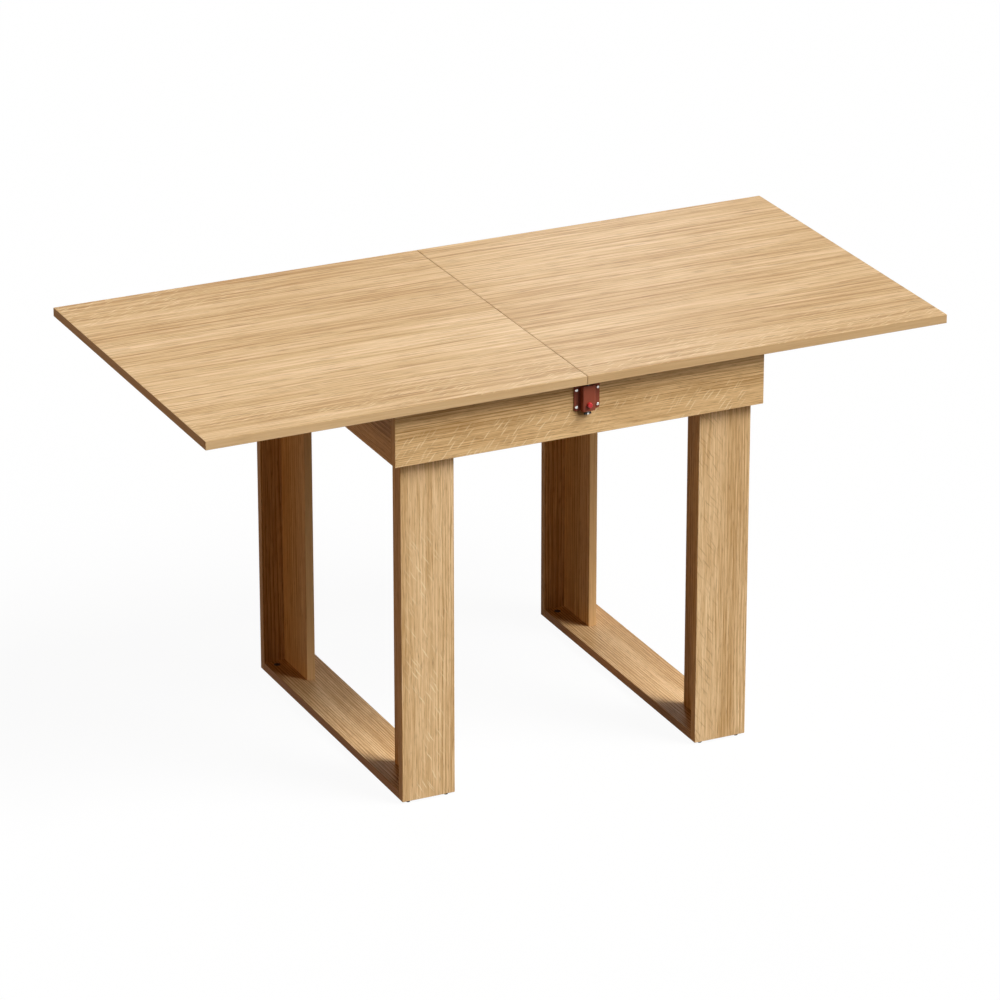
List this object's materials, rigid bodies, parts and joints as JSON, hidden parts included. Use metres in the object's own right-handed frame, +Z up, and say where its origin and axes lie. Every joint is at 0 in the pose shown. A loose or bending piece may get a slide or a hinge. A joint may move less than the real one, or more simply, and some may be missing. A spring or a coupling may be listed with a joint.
{
  "type": "folding dining table",
  "caption": "Fold-over dining table with a sliding two-leaf top, concealed hinges, U-shaped board legs and a red push latch under the seam.",
  "frame": {"origin": "on the floor under the seam, at the middle of the base", "axes": "+X along the table towards the main leaf, +Y to the rear, +Z up"},
  "size_m": [1.4, 0.7, 0.752],
  "materials": {
    "oak_top": "oak-look laminated board, satin",
    "oak_board": "oak-look laminated board, satin",
    "red_enamel": "enamelled pressed steel",
    "red_plastic": "moulded, glossy",
    "bright_steel": "bright plated",
    "chrome": "polished",
    "zinc": "zinc plated",
    "aluminium": "extruded, anodised",
    "brass": "turned",
    "nylon": "moulded",
    "black_plastic": "moulded",
    "beech": "fluted dowel"
  },
  "bodies": {
    "base": {"front_apron": "oak_board", "rear_apron": "oak_board", "left_apron": "oak_board", "right_apron": "oak_board", "left_foot_rail": "oak_board", "right_foot_rail": "oak_board", "left_front_leg": "oak_board", "left_front_rib": "oak_board", "left_rear_leg": "oak_board", "left_rear_rib": "oak_board", "right_front_leg": "oak_board", "right_front_rib": "oak_board", "right_rear_leg": "oak_board", "right_rear_rib": "oak_board", "floor_glides": "black_plastic", "apron_glide_pads": "nylon", "foot_rail_cams": "zinc", "apron_cams": "zinc", "foot_rail_cam_bolts": "zinc", "apron_cam_bolts": "zinc", "leg_screws": "zinc", "guide_rail_screws": "zinc", "rib_dowels": "beech", "front_guide_rail": "aluminium", "rear_guide_rail": "aluminium", "latch_housing": "red_enamel", "latch_screws": "bright_steel"},
    "main_leaf": {"main_leaf": "oak_top", "slide_shoes": "nylon", "shoe_brackets": "zinc", "shoe_screws": "zinc", "hinge_barrels_main": "brass", "hinge_pins_main": "zinc"},
    "flip_leaf": {"flip_leaf": "oak_top", "hinge_barrels_flip": "brass", "hinge_pins_flip": "zinc"},
    "hinge_links_main": {"hinge_links_main": "zinc"},
    "hinge_links_flip": {"hinge_links_flip": "zinc"},
    "latch_button": {"latch_button": "red_plastic"},
    "latch_bolt": {"latch_bolt": "chrome", "latch_cross_pin": "zinc"}
  },
  "joints": [
    {"name": "top_slide", "type": "slide", "parent": "base", "child": "main_leaf", "axis": [1, 0, 0], "range_m": [-0.35, 0]},
    {"name": "leaf_flip", "type": "hinge", "parent": "main_leaf", "child": "flip_leaf", "pos_m": [0, 0, 0.75225], "axis": [0, 1, 0], "range_deg": [0, 180]},
    {"name": "links_main_turn", "type": "hinge", "parent": "main_leaf", "child": "hinge_links_main", "pos_m": [0.0045, 0, 0.74775], "axis": [0, 1, 0], "range_deg": [0, 90]},
    {"name": "links_flip_turn", "type": "hinge", "parent": "flip_leaf", "child": "hinge_links_flip", "pos_m": [-0.0045, 0, 0.74775], "axis": [0, 1, 0], "range_deg": [-90, 0]},
    {"name": "latch_bolt_lift", "type": "slide", "parent": "base", "child": "latch_bolt", "axis": [0, 0, 1], "range_m": [0, 0.0035]},
    {"name": "latch_push", "type": "slide", "parent": "base", "child": "latch_button", "axis": [0, 1, 0], "range_m": [0, 0.0035]}
  ],
  "couplings": [
    {"joint": "links_main_turn", "follows": "leaf_flip", "ratio": 0.5},
    {"joint": "links_flip_turn", "follows": "leaf_flip", "ratio": -0.5},
    {"joint": "latch_push", "follows": "latch_bolt_lift", "ratio": 1}
  ]
}
